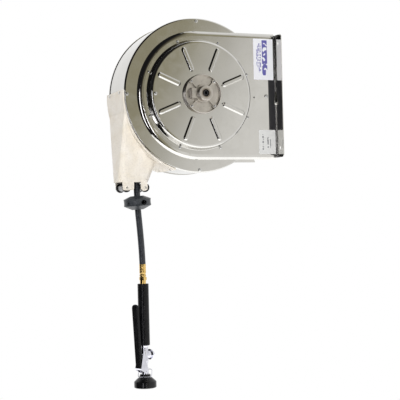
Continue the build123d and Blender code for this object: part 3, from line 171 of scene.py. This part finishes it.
# ---------------------------------------------------------------- metals
def polished_steel(name, tint):
    """Mirror-polished sheet: faint haze, buffing marks and a slight oil-can wave."""
    shader = Shader(name)
    haze = shader.noise(9.0, detail=4.0)
    buffing = shader.noise(60.0, detail=5.0, where=shader.stretched((1.0, 1.0, 9.0)))
    smudges = shader.noise(38.0, detail=6.0, distortion=1.2)
    dark = tuple(channel * 0.9 for channel in tint)
    colour = shader.blend(shader.spread(haze, 0.0, 1.0), dark, tint)
    roughness = shader.math(
        "ADD", shader.spread(smudges, 0.03, 0.10, 0.35, 0.75), shader.spread(haze, 0.02, 0.05)
    )
    waves = shader.bump(shader.noise(6.5, detail=1.0), 0.35, 0.0012)
    marks = shader.bump(buffing, 0.04, 0.0002, normal=waves)
    return shader.finish(colour, roughness, marks, metallic=1.0)


def plain_metal(name, tint, rough=(0.2, 0.35), grain=220.0, depth=0.0001):
    """Turned, plated or cast metal with a fine grain and cloudy roughness."""
    shader = Shader(name)
    cloud = shader.noise(45.0, detail=4.0)
    fine = shader.noise(grain, detail=4.0)
    dark = tuple(channel * 0.72 for channel in tint)
    colour = shader.blend(shader.spread(cloud, 0.0, 1.0, 0.25, 0.7), dark, tint)
    roughness = shader.spread(fine, *rough)
    normal = shader.bump(fine, 0.35, depth)
    return shader.finish(colour, roughness, normal, metallic=1.0)


def textured_paint(name, tint):
    """Cream powder coat with an orange-peel skin, a slightly grubby tone and a darker speckle of
    painted shade that follows the peel.
    """
    shader = Shader(name)
    peel = shader.noise(330.0, detail=3.0)
    grit = shader.noise(1100.0, detail=2.0)
    grime = shader.noise(24.0, detail=6.0, distortion=0.6)
    shade = tuple(channel * weight for channel, weight in zip(tint, (0.9, 0.87, 0.8)))
    colour = shader.blend(shader.spread(grime, 0.0, 1.0, 0.35, 0.75), tint, shade)
    # the darker speckle is painted shade of the orange-peel relief, laid on by the peel noise
    peel_shade_colour = tuple(channel * 0.62 for channel in tint)
    speckle = shader.blend(shader.spread(peel, 0.0, 0.55, 0.48, 0.78), colour, peel_shade_colour)
    roughness = shader.spread(peel, 0.36, 0.55)
    skin = shader.bump(peel, 0.6, 0.0009)
    normal = shader.bump(grit, 0.2, 0.0001, normal=skin)
    return shader.finish(speckle, roughness, normal)


def moulded(name, tint, rough, skin_scale=700.0, skin=0.15, ior=1.5):
    """Moulded plastic or rubber with a fine skin and dusty patches."""
    shader = Shader(name)
    skin_noise = shader.noise(skin_scale, detail=3.0)
    dust = shader.noise(60.0, detail=6.0, distortion=0.8)
    pale = tuple(channel * 1.8 + 0.004 for channel in tint)
    colour = shader.blend(shader.spread(dust, 0.0, 1.0, 0.45, 0.8), tint, pale)
    roughness = shader.spread(dust, *rough)
    normal = shader.bump(skin_noise, skin, 0.00006)
    return shader.finish(colour, roughness, normal, ior=ior)


def hose_rubber():
    """Smooth hose cover with faint lengthwise drawing lines."""
    shader = Shader("hose_rubber")
    lines = shader.noise(300.0, detail=2.0, where=shader.stretched((1.0, 1.0, 0.02)))
    dust = shader.noise(80.0, detail=5.0)
    colour = shader.blend(
        shader.spread(dust, 0.0, 1.0, 0.4, 0.8), (0.016, 0.018, 0.022), (0.030, 0.034, 0.040)
    )
    roughness = shader.spread(dust, 0.28, 0.42)
    return shader.finish(colour, roughness, shader.bump(lines, 0.1, 0.00004))


# ---------------------------------------------------------------- printed labels
MARK_WIDTH_SCALE = 90.0      # how often the marks change across a column, to the metre
INK_LEVEL = 0.46             # noise above this is inked


def printed_marks(shader, columns):
    """Where meaningless marks lie, in columns of (middle, half width, low, high, dash).
    Places are metres from the axle, and dash is the number of marks to the metre."""
    parts = shader.add("ShaderNodeSeparateXYZ")
    shader.join(shader.place, parts.inputs[0])
    across = shader.math("SUBTRACT", parts.outputs["X"], AXLE_X)
    upright = parts.outputs["Z"]
    printed = 0.0
    for middle, half_width, low, high, dash in columns:
        offset = shader.math("ABSOLUTE", shader.math("SUBTRACT", across, middle))
        inside = shader.math("LESS_THAN", offset, half_width)
        above = shader.math("GREATER_THAN", upright, low)
        below = shader.math("LESS_THAN", upright, high)
        here = shader.math("MULTIPLY", inside, shader.math("MULTIPLY", above, below))
        marks = shader.noise(1.0, detail=1.0, where=shader.stretched((MARK_WIDTH_SCALE, 1.0, dash)))
        inked = shader.math("GREATER_THAN", marks, INK_LEVEL)
        printed = shader.math("MAXIMUM", printed, shader.math("MULTIPLY", here, inked))
    return printed


def foil_label(name, paper, ink=None, columns=()):
    """A foil label with a faint fibre, printed with marks where it has columns."""
    shader = Shader(name)
    fibre = shader.noise(500.0, detail=3.0)
    worn = tuple(channel * 0.93 for channel in paper)
    colour = shader.blend(shader.spread(fibre, 0.0, 1.0), paper, worn)
    if columns:
        colour = shader.blend(printed_marks(shader, columns), colour, ink)
    roughness = shader.spread(fibre, 0.25, 0.4)
    return shader.finish(colour, roughness, shader.bump(fibre, 0.05, 0.0001))


WHITE_LABEL_COLUMNS = [
    (0.2035, 0.0080, 0.060, 0.160, 85.0),
    (0.1905, 0.0015, 0.072, 0.150, 260.0),
    (0.1865, 0.0013, 0.068, 0.152, 300.0),
    (0.1825, 0.0011, 0.080, 0.146, 300.0),
    (0.1790, 0.0010, 0.088, 0.138, 320.0),
]
SMALL_LABEL_COLUMNS = [
    (0.1925, 0.0018, -0.152, -0.108, 240.0),
    (0.2080, 0.0018, -0.150, -0.116, 240.0),
    (0.2160, 0.0010, -0.146, -0.122, 300.0),
]

# ---------------------------------------------------------------- materials by slot
MATERIALS = {
    "polished_steel": polished_steel("polished_steel", (0.66, 0.65, 0.62)),
    "zinc_steel": plain_metal("zinc_steel", (0.74, 0.74, 0.74), rough=(0.12, 0.24)),
    "cast_metal": plain_metal(
        "cast_metal", (0.70, 0.66, 0.61), rough=(0.26, 0.42), grain=160.0, depth=0.0003
    ),
    "cream_paint": textured_paint("cream_paint", (0.83, 0.78, 0.70)),
    "roller_steel": plain_metal("roller_steel", (0.42, 0.42, 0.42), rough=(0.3, 0.45)),
    "black_nylon": moulded("black_nylon", (0.006, 0.006, 0.0065), rough=(0.25, 0.4)),
    "stopper_plastic": moulded("stopper_plastic", (0.026, 0.029, 0.033), rough=(0.3, 0.46)),
    "hose_rubber": hose_rubber(),
    "brass": plain_metal("brass", (0.83, 0.57, 0.2), rough=(0.1, 0.2), depth=0.00001),
    "chrome": plain_metal("chrome", (0.74, 0.74, 0.80), rough=(0.03, 0.09), depth=0.00001),
    "grip_black": moulded(
        "grip_black", (0.003, 0.003, 0.0035), rough=(0.14, 0.22), skin_scale=90.0, skin=0.03, ior=1.28
    ),
    "head_black": moulded(
        "head_black", (0.003, 0.003, 0.0035), rough=(0.08, 0.16), skin_scale=90.0, skin=0.03, ior=1.36
    ),
    # darkened steel, painted shade: it stands in for the dark hole at the hub's middle and the black
    # counterbore round the stopper screws
    "oiled_steel": plain_metal("oiled_steel", (0.1, 0.1, 0.105), rough=(0.05, 0.12)),
    "bronze": plain_metal("bronze", (0.42, 0.37, 0.31), rough=(0.3, 0.45)),
    "drum_steel": plain_metal("drum_steel", (0.4, 0.4, 0.4), rough=(0.3, 0.5)),
    "spring_steel": plain_metal("spring_steel", (0.25, 0.27, 0.33)),
    "label_white": foil_label(
        "label_white", (0.85, 0.85, 0.88), (0.12, 0.11, 0.36), WHITE_LABEL_COLUMNS
    ),
    "label_black": foil_label("label_black", (0.016, 0.016, 0.018)),
}
SMALL_LABEL = foil_label(
    "small_label", (0.72, 0.72, 0.7), (0.14, 0.14, 0.15), SMALL_LABEL_COLUMNS
)


def dress(obj, material):
    obj.data.materials.clear()
    obj.data.materials.append(material)


for entry in frame["record"]["subparts"]:
    dress(frame["nodes"][entry["node"]], MATERIALS[entry["material_slot"]])
dress(frame["nodes"]["small_label"], SMALL_LABEL)
# the shaft end and the stopper screws get the darkened steel as painted shade for the hole and the
# counterbore
dress(frame["nodes"]["shaft"], MATERIALS["oiled_steel"])
dress(frame["nodes"]["stopper_screws"], MATERIALS["oiled_steel"])


# ---------------------------------------------------------------- the hanging hose
HOSE_ROUTE = [
    (AXLE_X - 0.1652, HOSE_Y, -0.2500),
    (AXLE_X - 0.1651, HOSE_Y, -0.2840),
    (AXLE_X - 0.1632, HOSE_Y, -0.3200),
    (AXLE_X - 0.1600, HOSE_Y, -0.3560),
    (AXLE_X - 0.1572, HOSE_Y, -0.3930),
    (AXLE_X - 0.1549, HOSE_Y, -0.4300),
    (TOOL_X, HOSE_Y, -0.4645),
]


def make_hose():
    curve = bpy.data.curves.new("hose_line", "CURVE")
    curve.dimensions = "3D"
    curve.bevel_depth = HOSE_DIAMETER / 2
    curve.bevel_resolution = 8
    curve.use_fill_caps = True
    spline = curve.splines.new("NURBS")
    spline.points.add(len(HOSE_ROUTE) - 1)
    for point, place in zip(spline.points, HOSE_ROUTE):
        point.co = (*place, 1.0)
    spline.order_u = 3
    spline.use_endpoint_u = True
    spline.resolution_u = 12
    hose = bpy.data.objects.new("hose_line", curve)
    bpy.context.scene.collection.objects.link(hose)
    curve.materials.append(MATERIALS["hose_rubber"])
    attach(hose, "hose_end")
    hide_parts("hose")


make_hose()


# ---------------------------------------------------------------- floor and light
FLOOR_Z = -1.25
FLOOR_RADIUS = 1.3
FLOOR_COLOUR = (0.9, 0.9, 0.9, 1.0)
FLOOR_GLOW = 0.9
# the room's colour by degrees round from -Y towards +X, from -180 to 180
ROOM_COLOURS = [
    (-180, (1.0, 1.0, 1.0)),
    (-130, (1.0, 1.0, 1.0)),
    (-124, (0.25, 0.25, 0.24)),
    (-118, (0.04, 0.04, 0.04)),
    (-60, (0.012, 0.012, 0.012)),
    (-14, (0.015, 0.015, 0.015)),
    (0, (0.10, 0.09, 0.06)),
    (9, (0.36, 0.335, 0.24)),
    (15.5, (0.37, 0.345, 0.24)),
    (18.2, (0.66, 0.65, 0.61)),
    (21.0, (0.93, 0.92, 0.90)),
    (60, (1.05, 1.05, 1.05)),
    (180, (1.0, 1.0, 1.0)),
]
# bright windows: middle and half width in degrees, then foot and top as upward slopes
WINDOWS = [
    (-36, 4, -0.5, 0.15),
    (1, 2, -0.35, 0.04),
]
WINDOW_COLOUR = (4.0, 4.0, 4.2)
MATT_SURFACES_SEE = (0.24, 0.24, 0.25, 1.0)
LEAN = 0.6               # how far the room's edges lean left with height
LEAN_LIMIT = 0.3         # the slope past which they lean no further


def make_floor():
    """A pale round floor, small enough that the steel mostly mirrors the room."""
    bpy.ops.mesh.primitive_circle_add(
        vertices=96, radius=FLOOR_RADIUS, fill_type="NGON", location=(AXLE_X, 0, FLOOR_Z)
    )
    floor = bpy.context.object
    floor.name = "floor"
    material = bpy.data.materials.new("floor_white")
    material.use_nodes = True
    surface = material.node_tree.nodes["Principled BSDF"]
    surface.inputs["Base Color"].default_value = FLOOR_COLOUR
    surface.inputs["Roughness"].default_value = 0.9
    surface.inputs["Emission Color"].default_value = WHITE
    surface.inputs["Emission Strength"].default_value = FLOOR_GLOW
    floor.data.materials.append(material)


def room_angle(nodes, direction):
    """The angle round from -Y towards +X, with higher directions counted further left."""
    east, north, height = (direction.outputs[axis] for axis in "XYZ")
    level = nodes.math("MINIMUM", nodes.math("MAXIMUM", height, -LEAN_LIMIT), LEAN_LIMIT)
    sideways = nodes.math("SUBTRACT", east, nodes.math("MULTIPLY", level, LEAN))
    return nodes.math("ARCTAN2", sideways, nodes.math("MULTIPLY", north, -1.0))


def wall_colour(nodes, angle):
    """The room's colour at an angle, by the ramp of ROOM_COLOURS."""
    ramp = nodes.add("ShaderNodeValToRGB")
    nodes.join(nodes.math("ADD", nodes.math("DIVIDE", angle, 2 * pi), 0.5), ramp.inputs["Fac"])
    elements = ramp.color_ramp.elements
    # the ramp starts with the two elements at its ends
    for degrees, _ in ROOM_COLOURS[1:-1]:
        elements.new(degrees / 360 + 0.5)
    for element, (_, colour) in zip(elements, ROOM_COLOURS):
        element.color = (*colour, 1.0)
    return ramp.outputs["Color"]


def window_light(nodes, angle, height):
    """1 inside the bright windows and 0 elsewhere."""
    lit = 0.0
    for middle, half_width, foot, top in WINDOWS:
        across = nodes.math("COMPARE", angle, radians(middle), radians(half_width))
        above = nodes.math("GREATER_THAN", height, foot)
        below = nodes.math("LESS_THAN", height, top)
        window = nodes.math("MULTIPLY", across, nodes.math("MULTIPLY", above, below))
        lit = nodes.math("MAXIMUM", lit, window)
    return lit


def make_studio():
    """A white room with a dark side behind the camera, so that the steel has
    something to mirror. The camera itself sees plain white."""
    world = bpy.data.worlds.new("studio")
    world.use_nodes = True
    nodes = NodeTree(world.node_tree)
    nodes.tree.nodes.clear()

    def background(colour):
        node = nodes.add("ShaderNodeBackground")
        if hasattr(colour, "is_output"):
            nodes.join(colour, node.inputs["Color"])
        else:
            node.inputs["Color"].default_value = colour
        return node.outputs[0]

    def choose(test, otherwise, where_true):
        node = nodes.add("ShaderNodeMixShader")
        for output, socket in zip((test, otherwise, where_true), node.inputs):
            nodes.join(output, socket)
        return node.outputs[0]

    direction = nodes.add("ShaderNodeSeparateXYZ")
    nodes.join(nodes.add("ShaderNodeTexCoord").outputs["Generated"], direction.inputs[0])
    angle = room_angle(nodes, direction)
    lit = window_light(nodes, angle, direction.outputs["Z"])
    room = nodes.blend(lit, wall_colour(nodes, angle), WINDOW_COLOUR)
    ray = nodes.add("ShaderNodeLightPath").outputs
    reflected = choose(
        ray["Is Diffuse Ray"], background(room), background(MATT_SURFACES_SEE)
    )
    seen = choose(ray["Is Camera Ray"], reflected, background(WHITE))
    output = nodes.add("ShaderNodeOutputWorld")
    nodes.join(seen, output.inputs["Surface"])
    bpy.context.scene.world = world


LIGHTS_AIM = Vector((AXLE_X, 0, -0.3))


def soft_light(name, place, size, power):
    """A round lamp that lights matt surfaces and isn't mirrored in the steel."""
    data = bpy.data.lights.new(name, "AREA")
    data.shape = "DISK"
    data.size = size
    data.energy = power
    light = bpy.data.objects.new(name, data)
    light.location = place
    direction = LIGHTS_AIM - Vector(place)
    light.rotation_euler = direction.to_track_quat("-Z", "Y").to_euler()
    light.visible_glossy = False
    light.visible_camera = False
    bpy.context.scene.collection.objects.link(light)


bpy.context.scene.view_settings.view_transform = "Standard"
make_floor()
make_studio()
soft_light("key", place=(-2.0, -2.4, 1.5), size=1.0, power=104)
soft_light("back", place=(0.0, 3.0, 1.4), size=1.6, power=30)
